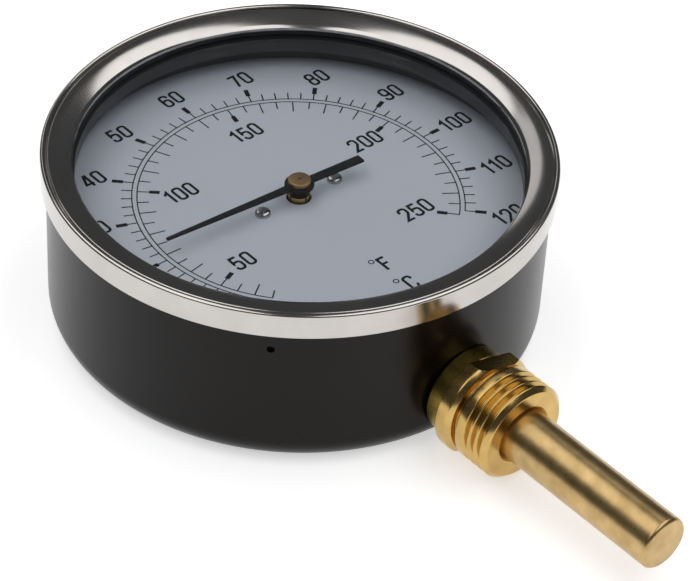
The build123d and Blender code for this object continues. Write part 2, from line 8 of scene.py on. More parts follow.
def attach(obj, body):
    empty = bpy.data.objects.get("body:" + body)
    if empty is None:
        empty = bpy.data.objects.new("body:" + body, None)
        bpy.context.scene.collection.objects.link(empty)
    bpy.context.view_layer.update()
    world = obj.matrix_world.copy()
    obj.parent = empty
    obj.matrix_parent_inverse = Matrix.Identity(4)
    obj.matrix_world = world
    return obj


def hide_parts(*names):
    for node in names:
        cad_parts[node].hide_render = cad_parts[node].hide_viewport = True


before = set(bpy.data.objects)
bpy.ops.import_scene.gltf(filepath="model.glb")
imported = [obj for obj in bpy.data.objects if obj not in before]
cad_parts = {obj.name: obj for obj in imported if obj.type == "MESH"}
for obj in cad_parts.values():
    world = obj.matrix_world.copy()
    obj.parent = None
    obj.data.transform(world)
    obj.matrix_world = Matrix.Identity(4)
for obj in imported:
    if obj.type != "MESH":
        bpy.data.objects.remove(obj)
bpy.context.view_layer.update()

mm = 0.001
stemHeight = 11.3  # height of the stem's axis above the case back
spindleLine = ((0, 0, 0), (0, 0, 1))  # a point on the axis and its direction, in mm
stemLine = ((0, 0, stemHeight), (0, -1, 0))
# faces round a turned piece
roundSteps = {"small": 96, "usual": 192, "large": 256, "bezel": 320}
# degrees between two faces from which the edge between them stays hard
hardEdge = {"usual": 32.0, "cut": 25.0, "glass": 5.0}


# colours and material building

def hexColour(text):
    # sRGB hex to the linear values that a shader takes
    parts = [int(text[i:i + 2], 16) / 255 for i in (1, 3, 5)]
    linear = [c / 12.92 if c <= 0.04045 else ((c + 0.055) / 1.055) ** 2.4 for c in parts]
    return (*linear, 1.0)


def newMaterial(name):
    material = bpy.data.materials.new(name)
    material.use_nodes = True
    tree = material.node_tree
    tree.nodes.clear()
    return material, tree


def addNode(tree, kind, settings=None, links=None):
    node = tree.nodes.new(kind)
    for key, value in (settings or {}).items():
        if isinstance(key, int) or key in node.inputs:
            node.inputs[key].default_value = value
        else:
            setattr(node, key, value)
    for key, source in (links or {}).items():
        tree.links.new(source, node.inputs[key])
    return node


def blendColours(tree, factor, first, second):
    # two hex colours mixed by a 0 to 1 pattern
    ramp = addNode(tree, "ShaderNodeValToRGB", {}, {"Fac": factor})
    ramp.color_ramp.elements[0].color = hexColour(first)
    ramp.color_ramp.elements[1].color = hexColour(second)
    return ramp.outputs["Color"]


def rangeOf(tree, factor, low, high):
    made = addNode(tree, "ShaderNodeMapRange", {"To Min": low, "To Max": high}, {"Value": factor})
    return made.outputs["Result"]


def roundPlaces(tree, line):
    # radius, height and angle about an axis, in metres and radians
    point, direction = line
    centre = [-p * mm for p in point]
    coordinates = addNode(tree, "ShaderNodeTexCoord")
    moved = addNode(tree, "ShaderNodeVectorMath", {"operation": "ADD", 1: centre},
                    {0: coordinates.outputs["Object"]})
    split = addNode(tree, "ShaderNodeSeparateXYZ", {}, {"Vector": moved.outputs["Vector"]})
    if direction[2]:
        across, up, along = split.outputs["X"], split.outputs["Y"], split.outputs["Z"]
    else:
        across, up, along = split.outputs["X"], split.outputs["Z"], split.outputs["Y"]
    flat = addNode(tree, "ShaderNodeCombineXYZ", {}, {"X": across, "Y": up})
    radius = addNode(tree, "ShaderNodeVectorMath", {"operation": "LENGTH"}, {0: flat.outputs["Vector"]})
    angle = addNode(tree, "ShaderNodeMath", {"operation": "ARCTAN2"}, {0: up, 1: across})
    return radius.outputs["Value"], along, angle.outputs["Value"]


def turnedPattern(tree, line, pitch, around):
    # tool lines: fine across the surface and long round the axis
    radius, along, angle = roundPlaces(tree, line)
    places = addNode(tree, "ShaderNodeCombineXYZ", {}, {"X": radius, "Y": along})
    scaled = addNode(tree, "ShaderNodeVectorMath",
                     {"operation": "MULTIPLY", 1: (1 / (pitch * mm), 1 / (pitch * mm), 1)},
                     {0: places.outputs["Vector"]})
    turn = addNode(tree, "ShaderNodeMath", {"operation": "MULTIPLY", 1: around}, {0: angle})
    turned = addNode(tree, "ShaderNodeCombineXYZ", {}, {"Z": turn.outputs["Value"]})
    joined = addNode(tree, "ShaderNodeVectorMath", {"operation": "ADD"},
                     {0: scaled.outputs["Vector"], 1: turned.outputs["Vector"]})
    noise = addNode(tree, "ShaderNodeTexNoise", {"Scale": 1.0, "Detail": 2.0, "Roughness": 0.6},
                    {"Vector": joined.outputs["Vector"]})
    return noise.outputs["Fac"]


def cloudPattern(tree, size):
    # soft patches of about that size in mm
    coordinates = addNode(tree, "ShaderNodeTexCoord")
    noise = addNode(tree, "ShaderNodeTexNoise",
                    {"Scale": 1 / (size * mm), "Detail": 3.0, "Roughness": 0.55},
                    {"Vector": coordinates.outputs["Object"]})
    return noise.outputs["Fac"]


def surface(tree, settings, colour, roughness, height, depth):
    # the shader of every opaque finish: colour, roughness and height come in as sockets
    shader = addNode(tree, "ShaderNodeBsdfPrincipled", {"Metallic": settings["metallic"]},
                     {"Base Color": colour, "Roughness": roughness})
    for key in ("IOR", "Specular IOR Level", "Emission Strength"):
        if key in settings:
            shader.inputs[key].default_value = settings[key]
    bump = addNode(tree, "ShaderNodeBump", {"Strength": 1.0, "Distance": depth * mm}, {"Height": height})
    tree.links.new(bump.outputs["Normal"], shader.inputs["Normal"])
    addNode(tree, "ShaderNodeOutputMaterial", {}, {"Surface": shader.outputs["BSDF"]})


def turnedMetal(name, settings, line):
    # lathe-turned or rolled metal: tool lines round the axis over soft tarnish
    material, tree = newMaterial(name)
    lines = turnedPattern(tree, line, settings["linePitch"], settings["lineRun"])
    clouds = cloudPattern(tree, settings["patchSize"])
    colour = blendColours(tree, clouds, settings["darkColour"], settings["lightColour"])
    roughness = rangeOf(tree, lines, settings["roughLow"], settings["roughHigh"])
    surface(tree, settings, colour, roughness, lines, settings["lineDepth"])
    return material


def cloudyFinish(name, settings):
    # paint, plastic and rubber: two near colours, a fine grain and its own gloss
    material, tree = newMaterial(name)
    grain = cloudPattern(tree, settings["grainSize"])
    clouds = cloudPattern(tree, settings["patchSize"])
    colour = blendColours(tree, clouds, settings["darkColour"], settings["lightColour"])
    roughness = rangeOf(tree, clouds, settings["roughLow"], settings["roughHigh"])
    surface(tree, settings, colour, roughness, grain, settings["grainDepth"])
    return material


# the finishes, with pattern sizes in mm

# Stoving enamel on drawn steel: a warm black with a soft gloss and a faint orange peel
stovedEnamel = {"darkColour": "#0b0705", "lightColour": "#110b08", "metallic": 0.0, "IOR": 1.4,
                "roughLow": 0.22, "roughHigh": 0.3, "grainSize": 1.4, "grainDepth": 0.004,
                "patchSize": 14.0, "Specular IOR Level": 0.26}
# Rolled stainless steel: bright and slightly warm; its lines are drawn coarser than real
rolledStainless = {"darkColour": "#b4b0ac", "lightColour": "#cac6c2", "metallic": 1.0,
                   "roughLow": 0.1, "roughHigh": 0.17, "linePitch": 0.25, "lineRun": 3.0,
                   "lineDepth": 0.0012, "patchSize": 9.0}
# Nitrile rubber: dead black with almost no gloss; its grain is drawn coarser than real
nitrileRubber = {"darkColour": "#0d0d0d", "lightColour": "#151515", "metallic": 0.0, "IOR": 1.5,
                 "roughLow": 0.5, "roughHigh": 0.65, "grainSize": 0.5, "grainDepth": 0.01,
                 "patchSize": 6.0}
# Moulded ABS: dark grey with a low sheen; its grain is drawn coarser than real
mouldedAbs = {"darkColour": "#252627", "lightColour": "#303132", "metallic": 0.0, "IOR": 1.53,
              "roughLow": 0.38, "roughHigh": 0.5, "grainSize": 0.4, "grainDepth": 0.006,
              "patchSize": 8.0}
# Matte enamel on a stamped aluminium disc: white, made greyer as painted shade and bluer as a painted
# reflection of the glass; its tooth drawn coarser than real
dialEnamelAndShade = {"darkColour": "#c0c1cd", "lightColour": "#c8c9d5", "metallic": 0.0, "IOR": 1.5,
              "roughLow": 0.5, "roughHigh": 0.6, "grainSize": 0.35, "grainDepth": 0.004,
              "patchSize": 30.0}
# Screen ink: solid black with a low sheen, its grain drawn coarser than real
screenInk = {"darkColour": "#07080a", "lightColour": "#0d0e11", "metallic": 0.0, "IOR": 1.5,
             "Specular IOR Level": 0.12, "roughLow": 0.45, "roughHigh": 0.55, "grainSize": 0.3,
             "grainDepth": 0.002, "patchSize": 5.0}
# Black lacquer on stamped aluminium: a matte black, its grain drawn coarser than real
blackLacquer = {"darkColour": "#060607", "lightColour": "#0b0b0c", "metallic": 0.0, "IOR": 1.5,
                "Specular IOR Level": 0.15, "roughLow": 0.4, "roughHigh": 0.5, "grainSize": 0.3,
                "grainDepth": 0.004, "patchSize": 4.0}
# Bar brass, turned: warm gold with tool lines
turnedBrass = {"darkColour": "#b18f50", "lightColour": "#dbba76", "metallic": 1.0,
               "roughLow": 0.15, "roughHigh": 0.25, "linePitch": 0.18, "lineRun": 2.0,
               "lineDepth": 0.0012, "patchSize": 5.0}
# Drawn brass tube: warm and dull from handling, its lines drawn coarser than real
drawnBrass = {"darkColour": "#937849", "lightColour": "#d9ba84", "metallic": 1.0,
              "roughLow": 0.24, "roughHigh": 0.36, "linePitch": 0.5, "lineRun": 8.0,
              "lineDepth": 0.002, "patchSize": 4.0}
# Turned brass on the neck: darker and more olive than the pocket, in small blotches; its lines are drawn
# coarser than real
oliveNeckBrass = {"darkColour": "#75622f", "lightColour": "#bda152", "metallic": 1.0,
             "roughLow": 0.2, "roughHigh": 0.38, "linePitch": 0.3, "lineRun": 14.0,
             "lineDepth": 0.004, "patchSize": 1.6}
# Dull brass: brownish and soft in its shine, on the pointer's cap and the works
capBrass = {"darkColour": "#96764c", "lightColour": "#b3916a", "metallic": 1.0,
            "roughLow": 0.26, "roughHigh": 0.4, "linePitch": 0.12, "lineRun": 1.5,
            "lineDepth": 0.002, "patchSize": 1.2}
# Nickel-plated steel screws: hard and bright
platedSteel = {"darkColour": "#a9a8a6", "lightColour": "#cfcdca", "metallic": 1.0,
               "roughLow": 0.14, "roughHigh": 0.26, "linePitch": 0.15, "lineRun": 1.0,
               "lineDepth": 0.001, "patchSize": 0.8}
# Two-metal strip: pale steel with a brown cast; its lines are drawn coarser than real
rolledStrip = {"darkColour": "#8f8678", "lightColour": "#aaa297", "metallic": 1.0,
               "roughLow": 0.25, "roughHigh": 0.4, "linePitch": 0.3, "lineRun": 20.0,
               "lineDepth": 0.001, "patchSize": 2.0}
# Pale matt paper under the part: near white, with a glow of its own that keeps the far corners white
palePaper = {"darkColour": "#f2f2f2", "lightColour": "#f8f8f8", "metallic": 0.0, "roughLow": 0.7,
             "roughHigh": 0.8, "grainSize": 2.0, "grainDepth": 0.0, "patchSize": 200.0,
             "Emission Strength": 0.56}

enamelMaterial = cloudyFinish("stovedEnamel", stovedEnamel)
bezelMaterial = turnedMetal("rolledStainless", rolledStainless, spindleLine)
rubberMaterial = cloudyFinish("nitrileRubber", nitrileRubber)
absMaterial = cloudyFinish("mouldedAbs", mouldedAbs)
# the dial's colour carries painted shade and a painted reflection of the glass
dialMaterial = cloudyFinish("dialEnamelAndShade", dialEnamelAndShade)
inkMaterial = cloudyFinish("screenInk", screenInk)
lacquerMaterial = cloudyFinish("blackLacquer", blackLacquer)
pocketMaterial = turnedMetal("turnedBrass", turnedBrass, stemLine)
tubeMaterial = turnedMetal("drawnBrass", drawnBrass, stemLine)
neckMaterial = turnedMetal("oliveNeckBrass", oliveNeckBrass, stemLine)
capMaterial = turnedMetal("capBrass", capBrass, spindleLine)
screwMaterial = turnedMetal("platedSteel", platedSteel, spindleLine)
stripMaterial = turnedMetal("rolledStrip", rolledStrip, stemLine)


def clearGlass(name):
    # Float glass: refracts what is under it, and lets the light through to the dial
    material, tree = newMaterial(name)
    glass = addNode(tree, "ShaderNodeBsdfPrincipled",
                    {"Base Color": hexColour("#fafcfc"), "Roughness": 0.0, "IOR": 1.5,
                     "Transmission Weight": 1.0})
    clear = addNode(tree, "ShaderNodeBsdfTransparent", {"Color": hexColour("#fafcfc")})
    path = addNode(tree, "ShaderNodeLightPath")
    passing = addNode(tree, "ShaderNodeMath", {"operation": "MAXIMUM"},
                      {0: path.outputs["Is Shadow Ray"], 1: path.outputs["Is Diffuse Ray"]})
    mixed = addNode(tree, "ShaderNodeMixShader", {},
                    {0: passing.outputs["Value"], 1: glass.outputs["BSDF"], 2: clear.outputs["BSDF"]})
    addNode(tree, "ShaderNodeOutputMaterial", {}, {"Surface": mixed.outputs["Shader"]})
    return material


glassMaterial = clearGlass("clearGlass")
print("finishes made")


# mesh building

def keepHardEdges(mesh, sharpAngle):
    # smooth faces, with each edge that turns further than the angle kept hard
    for face in mesh.faces:
        face.smooth = True
    for edge in mesh.edges:
        edge.smooth = edge.calc_face_angle(0) < math.radians(sharpAngle)


def finishMesh(mesh, name, material, sharpAngle=hardEdge["usual"]):
    # the mesh as an object of its own
    keepHardEdges(mesh, sharpAngle)
    data = bpy.data.meshes.new(name)
    mesh.to_mesh(data)
    mesh.free()
    piece = bpy.data.objects.new(name, data)
    bpy.context.scene.collection.objects.link(piece)
    data.materials.append(material)
    return piece


def place(piece, body, slotName, *nodes):
    # flat faces shade flat beside rounded edges
    even = piece.modifiers.new("evenShade", "WEIGHTED_NORMAL")
    even.keep_sharp = True
    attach(piece, body)
    if nodes:
        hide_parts(*nodes)


def turnedMesh(outline, line, steps=roundSteps["usual"], closed=True, arcSteps=5):
    # outline points are (distance from the axis, place along it, corner radius), in mm
    mesh = bmesh.new()
    corners = []
    for point in outline:
        corner = mesh.verts.new((point[0], 0, point[1]))
        corners.append((corner, point[2] if len(point) > 2 else 0))
    for i in range(len(corners) - (0 if closed else 1)):
        mesh.edges.new((corners[i][0], corners[(i + 1) % len(corners)][0]))
    for corner, radius in corners:
        if radius:
            bmesh.ops.bevel(mesh, geom=[corner], offset=radius, segments=arcSteps, profile=0.5,
                            affect="VERTICES", material=-1)
    bmesh.ops.spin(mesh, geom=mesh.verts[:] + mesh.edges[:], cent=(0, 0, 0), axis=(0, 0, 1),
                   angle=math.tau, steps=steps, use_merge=True)
    bmesh.ops.remove_doubles(mesh, verts=mesh.verts[:], dist=0.0005)
    bmesh.ops.dissolve_degenerate(mesh, edges=mesh.edges[:], dist=0.0001)
    bmesh.ops.recalc_face_normals(mesh, faces=mesh.faces[:])
    layOnLine(mesh, line)
    return mesh


def layOnLine(mesh, line):
    # from mm about +Z to metres about the given axis
    point, direction = line
    turn = Vector((0, 0, 1)).rotation_difference(Vector(direction)).to_matrix().to_4x4()
    move = Matrix.Translation(Vector(point) * mm) @ turn @ Matrix.Scale(mm, 4)
    bmesh.ops.transform(mesh, matrix=move, verts=mesh.verts[:])


def turnedPiece(name, outline, line, material, body, slotName, nodes, steps=roundSteps["usual"]):
    mesh = turnedMesh(outline, line, steps)
    place(finishMesh(mesh, name, material), body, slotName, *nodes)


def applyModifiers(piece):
    # keeps the modified shape as the piece's own mesh
    shown = piece.evaluated_get(bpy.context.evaluated_depsgraph_get())
    shaped = bpy.data.meshes.new_from_object(shown)
    piece.modifiers.clear()
    piece.data = shaped
    return piece


def cutWith(piece, cutter):
    # takes the cutter's shape out of the piece, then marks the hard edges again
    cut = piece.modifiers.new("cut", "BOOLEAN")
    cut.operation = "DIFFERENCE"
    cut.solver = "EXACT"
    cut.object = cutter
    applyModifiers(piece)
    bpy.data.objects.remove(cutter)
    mesh = bmesh.new()
    mesh.from_mesh(piece.data)
    keepHardEdges(mesh, hardEdge["cut"])
    mesh.to_mesh(piece.data)
    mesh.free()


# case: a drawn cup with a bead round its mouth, a stem hole and a vent
caseCup = {"radius": 51.3, "wall": 1.0, "height": 36.2, "corner": 6.0, "cornerSteps": 12, "edge": 0.2,
           "bead": 0.45, "beadHeight": 1.6, "beadSlope": 0.5, "beadRound": 0.25, "stemHole": 7.05,
           "stemAngle": -90.0, "ventRadius": 0.8, "ventHeight": 29.6, "ventAngle": -135.9,
           "holeSteps": 48, "drillDepth": 20.0,
           "ringHeights": (19.0, 28.5, 30.7)}  # extra rings keep the faces round the holes small


def buildCase():
    case = caseCup
    inside = case["radius"] - case["wall"]
    beadOut = case["radius"] + case["bead"]
    beadFoot = case["height"] - case["beadHeight"]
    outline = [(0, 0), (case["radius"], 0, case["corner"])]
    outline += [(case["radius"], height) for height in case["ringHeights"]]
    outline += [(case["radius"], beadFoot, case["edge"]),
                (beadOut, beadFoot + case["beadSlope"], case["beadRound"]),
                (beadOut, case["height"], case["edge"]), (inside, case["height"], case["edge"])]
    outline += [(inside, height) for height in reversed(case["ringHeights"])]
    outline += [(inside, case["wall"], case["corner"] - case["wall"]), (0, case["wall"])]
    mesh = turnedMesh(outline, spindleLine, roundSteps["large"], False, case["cornerSteps"])
    piece = finishMesh(mesh, "case_cup", enamelMaterial)
    holes = (("stem", case["stemHole"], stemHeight, case["stemAngle"]),
             ("vent", case["ventRadius"], case["ventHeight"], case["ventAngle"]))
    for name, radius, height, angle in holes:
        drill = bmesh.new()
        bmesh.ops.create_cone(drill, cap_ends=True, segments=case["holeSteps"], radius1=radius,
                              radius2=radius, depth=case["drillDepth"])
        way = Vector((math.cos(math.radians(angle)), math.sin(math.radians(angle)), 0))
        layOnLine(drill, (way * case["radius"] + Vector((0, 0, height)), way))
        cutWith(piece, finishMesh(drill, "drill_" + name, enamelMaterial))
    place(piece, "case", "case_paint", "case_shell")


buildCase()

# bezel: skirt, rolled edge, dark fold, crowned face and a lip over the seal
bezelRing = {"bore": 51.85, "outside": 52.45, "foot": 33.6, "footInner": 0.15, "footOuter": 0.2,
             "top": 39.2, "roll": 0.55, "innerRoll": 0.495, "foldOuter": 51.35, "foldInner": 51.0,
             "foldFloor": 38.25, "foldEase": 0.3, "faceEdge": 38.8, "faceRound": 0.25,
             "crown": (48.7, 38.72, 2.4), "underCrown": (48.4, 38.05, 1.4), "lip": 45.9,
             "lipFoot": 36.6, "lipTop": 37.3, "lipEase": 0.35, "lipRound": 0.6, "lipEdge": 0.1,
             "sheet": 0.6}


def buildBezel():
    bezel = bezelRing
    under = bezel["foldFloor"] - bezel["sheet"]
    outline = [(bezel["bore"], bezel["foot"], bezel["footInner"]),
               (bezel["outside"], bezel["foot"], bezel["footOuter"]),
               (bezel["outside"], bezel["top"], bezel["roll"]),
               (bezel["foldOuter"], bezel["top"], bezel["innerRoll"]),
               (bezel["foldOuter"], bezel["foldFloor"]), (bezel["foldInner"], bezel["foldFloor"]),
               (bezel["foldInner"], bezel["faceEdge"], bezel["faceRound"]), bezel["crown"],
               (bezel["lip"] + bezel["lipEase"], bezel["lipTop"] + bezel["lipEase"], bezel["lipRound"]),
               (bezel["lip"], bezel["lipTop"] - bezel["lipEdge"], bezel["lipEdge"]),
               (bezel["lip"], bezel["lipFoot"]), (bezel["lip"] + bezel["sheet"], bezel["lipFoot"]),
               bezel["underCrown"], (bezel["foldInner"] - bezel["foldEase"], under),
               (bezel["bore"], under)]
    turnedPiece("bezel", outline, spindleLine, bezelMaterial, "case", "bezel_steel", ["bezel_ring"],
                roundSteps["bezel"])


buildBezel()

# window: glass, black seal and the spacer that holds it off the dial
windowStack = {"rim": 50.1, "glassFoot": 33.4, "glassTop": 35.4, "glassEdge": 0.25, "glassSteps": 2,
               "sealBore": 45.95, "sealTop": 36.6, "sealRound": 0.2, "spacerBore": 45.5,
               "spacerWall": 1.2, "spacerLip": 30.1, "spacerRound": 0.5, "spacerEdge": 0.1,
               "spacerFillet": 0.3, "leg": 0.8, "dialFace": 26.0}


def buildWindow():
    window = windowStack
    rim, foot, top = window["rim"], window["glassFoot"], window["glassTop"]
    glass = [(0, foot), (rim, foot, window["glassEdge"]), (rim, top, window["glassEdge"]), (0, top)]
    mesh = turnedMesh(glass, spindleLine, closed=False, arcSteps=window["glassSteps"])
    pane = finishMesh(mesh, "window_pane", glassMaterial, hardEdge["glass"])
    place(pane, "case", "window_glass", "window_glass")
    seal = [(window["sealBore"], top, window["sealRound"]),
            (window["sealBore"], window["sealTop"], window["sealRound"]),
            (rim, window["sealTop"]), (rim, top)]
    turnedPiece("rim_seal", seal, spindleLine, rubberMaterial, "case", "seal_rubber", ["window_seal"])
    inner = window["spacerBore"]
    outer = inner + window["spacerWall"]
    under = foot - window["spacerWall"]
    leg = rim - window["leg"]
    spacer = [(inner, window["spacerLip"], window["spacerRound"]), (inner, foot, window["spacerEdge"]),
              (rim, foot), (rim, window["dialFace"]), (leg, window["dialFace"]), (leg, under),
              (outer, under, window["spacerFillet"]), (outer, window["spacerLip"], window["spacerRound"])]
    turnedPiece("spacer", spacer, spindleLine, absMaterial, "case", "spacer_plastic", ["spacer_ring"])


buildWindow()
print("case, bezel and window made")

# dial: an enamelled disc with a printed scale
dialDisc = {"radius": windowStack["rim"], "face": windowStack["dialFace"], "thickness": 0.5,
            "hole": 2.6, "edge": 0.1}
dialScale = {"span": 120, "sweep": 270.0, "start": 225.0, "outerCircle": 34.0, "innerCircle": 32.95,
             "circleSteps": 200, "line": 0.24, "tick": 0.27, "tickEnd": 36.2, "blockEnd": 38.4,
             "blockWidth": 0.98, "overlap": 0.1, "inkHeight": 0.03, "shortTick": 30.6,
             "longTick": 29.5, "innerBlock": 30.4, "innerBlockEnd": 28.35, "coldest": 35,
             "hottest": 250}
# degrees between one mark and the next
markSteps = {"celsiusTick": 2, "celsiusFigure": 10, "fahrenheitTick": 5, "fahrenheitLong": 10,
             "fahrenheitFigure": 50}
# sizes of the figures; three of them in a row stand a little further out
figures = {"height": 4.4, "width": 2.25, "stroke": 0.6, "gap": 0.45, "outerPlace": 42.3,
           "threeFrom": 100, "threeShift": 0.7, "innerPlace": 24.0, "round": 0.82, "bendSteps": 6,
           "oneWidth": 0.62, "oneShift": 0.25}
# the two degree signs: each letter's height on the dial, and its small ring
degreeSigns = {"letters": (("F", -27.0), ("C", -34.5)), "ringAcross": -2.1, "ringAbove": 2.0,
               "ringRadius": 0.55, "ringSteps": 16}

# each figure as pen strokes in a box 1 wide and 1 high: (across, up, rounding)
strokes = {
    "0": [[(0, 0, 1), (1, 0, 1), (1, 1, 1), (0, 1, 1), "closed"]],
    "1": [[(0.2, 0.78, 0), (0.72, 1.0, 0), (0.72, 0, 0)]],
    "2": [[(0, 0.72, 0), (0, 1, 1), (1, 1, 1), (1, 0.56, 0.5), (0, 0.0, 0), (1, 0, 0)]],
    "3": [[(0, 0.76, 0), (0, 1, 1), (1, 1, 1), (1, 0.54, 0.5), (0.4, 0.54, 0)],
          [(0.4, 0.54, 0), (1, 0.54, 0.5), (1, 0, 1), (0, 0, 1), (0, 0.24, 0)]],
    "4": [[(0.8, 0, 0), (0.8, 1, 0), (0.62, 1, 0), (-0.02, 0.25, 0), (1.1, 0.25, 0)]],
    "5": [[(0.95, 1, 0), (0.08, 1, 0), (0.02, 0.52, 0.1), (0.06, 0.62, 0.5), (1, 0.62, 1), (1, 0, 1),
           (0, 0, 1), (0, 0.24, 0)]],
    "6": [[(1, 0.76, 0), (1, 1, 1), (0, 1, 1), (0, 0, 1), (1, 0, 1), (1, 0.58, 1), (0, 0.58, 1),
           (0, 0.4, 0)]],
    "7": [[(0, 1, 0), (1, 1, 0), (0.35, 0, 0)]],
    "8": [[(0, 0, 1), (1, 0, 1), (1, 0.53, 0.9), (0, 0.53, 0.9), "closed"],
          [(0.04, 0.53, 0.9), (0.96, 0.53, 0.9), (0.96, 1, 1), (0.04, 1, 1), "closed"]],
    "9": [[(0, 0.24, 0), (0, 0, 1), (1, 0, 1), (1, 1, 1), (0, 1, 1), (0, 0.42, 1), (1, 0.42, 1),
           (1, 0.6, 0)]],
    "F": [[(1, 1, 0), (0, 1, 0), (0, 0, 0)], [(0, 0.53, 0), (0.85, 0.53, 0)]],
    "C": [[(1, 0.74, 0), (1, 1, 1), (0, 1, 1), (0, 0, 1), (1, 0, 1), (1, 0.26, 0)]],
}


def degreeAngle(celsius):
    return math.radians(dialScale["start"] - dialScale["sweep"] * celsius / dialScale["span"])


def celsiusOf(fahrenheit):
    return (fahrenheit - 32) / 1.8


def inkPiece(name, lines, width):
    # lines of (x, y, rounding) points on the dial face, given their width by a thickening modifier
    mesh = bmesh.new()
    for line in lines:
        closed = line[-1] == "closed"
        points = line[:-1] if closed else line
        corners = [(mesh.verts.new((p[0], p[1], 0)), p[2]) for p in points]
        for i in range(len(corners) - (0 if closed else 1)):
            mesh.edges.new((corners[i][0], corners[(i + 1) % len(corners)][0]))
        for corner, radius in corners:
            if radius:
                bmesh.ops.bevel(mesh, geom=[corner], offset=radius, segments=figures["bendSteps"],
                                profile=0.5, affect="VERTICES", material=-1)
    raised = bmesh.ops.extrude_edge_only(mesh, edges=mesh.edges[:])
    top = [item for item in raised["geom"] if isinstance(item, bmesh.types.BMVert)]
    bmesh.ops.translate(mesh, vec=(0, 0, dialScale["inkHeight"]), verts=top)
    bmesh.ops.recalc_face_normals(mesh, faces=mesh.faces[:])
    bmesh.ops.translate(mesh, vec=(0, 0, dialDisc["face"]), verts=mesh.verts[:])
    layOnLine(mesh, spindleLine)
    piece = finishMesh(mesh, name, inkMaterial)
    wall = piece.modifiers.new("width", "SOLIDIFY")
    wall.thickness = width * mm
    wall.offset = 0
    wall.use_even_offset = True
    return applyModifiers(piece)


def spoke(celsius, inner, outer):
    angle = degreeAngle(celsius)
    return [(math.cos(angle) * r, math.sin(angle) * r, 0) for r in (inner, outer)]


def arcLine(radius, first, last):
    steps = dialScale["circleSteps"]
    angles = [degreeAngle(first + (last - first) * i / steps) for i in range(steps + 1)]
    return [(math.cos(a) * radius, math.sin(a) * radius, 0) for a in angles]


def figureLines(text, centreX, centreY):
    # the pen strokes of a row of figures, centred on a place on the dial
    wide = figures["width"] - figures["stroke"]
    tall = figures["height"] - figures["stroke"]
    steps = []
    for letter in text:
        body = wide * (figures["oneWidth"] if letter == "1" else 1)
        steps.append(body + figures["stroke"] + figures["gap"])
    left = centreX - (sum(steps) - figures["gap"]) / 2 + figures["stroke"] / 2
    lines = []
    for letter, step in zip(text, steps):
        shift = left - (wide * figures["oneShift"] if letter == "1" else 0)
        for stroke in strokes[letter]:
            line = []
            for point in stroke:
                if point == "closed":
                    line.append(point)
                else:
                    line.append((shift + point[0] * wide, centreY + (point[1] - 0.5) * tall,
                                 point[2] * wide * 0.5 * figures["round"]))
            lines.append(line)
        left += step
    return lines


def figuresAt(text, celsius, reach):
    angle = degreeAngle(celsius)
    return figureLines(text, math.cos(angle) * reach, math.sin(angle) * reach)


def degreeRing(middle):
    # the small ring of a degree sign, as a closed line
    signs = degreeSigns
    ring = []
    for i in range(signs["ringSteps"]):
        turn = math.tau * i / signs["ringSteps"]
        ring.append((signs["ringAcross"] + signs["ringRadius"] * math.cos(turn),
                     middle + signs["ringAbove"] + signs["ringRadius"] * math.sin(turn), 0))
    return ring + ["closed"]


def buildPrint():
    scale = dialScale
    thin = [arcLine(scale["outerCircle"], 0, scale["span"]),
            arcLine(scale["innerCircle"], celsiusOf(scale["coldest"]), celsiusOf(scale["hottest"]))]
    ticks, blocks, letters = [], [], []
    for celsius in range(0, scale["span"] + 1, markSteps["celsiusTick"]):
        ticks.append(spoke(celsius, scale["outerCircle"], scale["tickEnd"]))
        if celsius % markSteps["celsiusFigure"] == 0:
            blocks.append(spoke(celsius, scale["tickEnd"] - scale["overlap"], scale["blockEnd"]))
            further = figures["threeShift"] if celsius >= figures["threeFrom"] else 0
            letters += figuresAt(str(celsius), celsius, figures["outerPlace"] + further)
    for fahrenheit in range(scale["coldest"], scale["hottest"] + 1, markSteps["fahrenheitTick"]):
        celsius = celsiusOf(fahrenheit)
        if fahrenheit % markSteps["fahrenheitFigure"] == 0:
            ticks.append(spoke(celsius, scale["innerBlock"], scale["innerCircle"]))
            blocks.append(spoke(celsius, scale["innerBlockEnd"], scale["innerBlock"] + scale["overlap"]))
            letters += figuresAt(str(fahrenheit), celsius, figures["innerPlace"])
        else:
            end = scale["longTick"] if fahrenheit % markSteps["fahrenheitLong"] == 0 else scale["shortTick"]
            ticks.append(spoke(celsius, end, scale["innerCircle"]))
    rings = []
    for letter, middle in degreeSigns["letters"]:
        letters += figureLines(letter, 0.0, middle)
        rings.append(degreeRing(middle))
    groups = (("scale_lines", thin + rings, scale["line"]), ("scale_ticks", ticks, scale["tick"]),
              ("scale_blocks", blocks, scale["blockWidth"]),
              ("scale_figures", letters, figures["stroke"]))
    for name, lines, width in groups:
        place(inkPiece(name, lines, width), "case", "dial_enamel")


def buildDial():
    disc = dialDisc
    back = disc["face"] - disc["thickness"]
    outline = [(disc["hole"], back), (disc["radius"], back), (disc["radius"], disc["face"], disc["edge"]),
               (disc["hole"], disc["face"], disc["edge"])]
    turnedPiece("dial_disc", outline, spindleLine, dialMaterial, "case", "dial_enamel", ["dial_plate"])


buildDial()
buildPrint()
print("dial and scale made")

# pointer, its cap and the dial screws
pointerShape = {"angle": 176.4, "reach": 32.5, "tail": 15.8, "tip": 0.75, "waist": 2.0, "end": 2.2,
                "foot": 29.0, "thickness": 0.45, "ease": 0.06, "easeSteps": 2, "hub": 3.05,
                "hubFoot": 28.9, "hubTop": 29.6, "hubEdge": 0.1, "hubRound": 0.12, "boss": 1.5,
                "bossFoot": 27.6, "bore": 0.77}


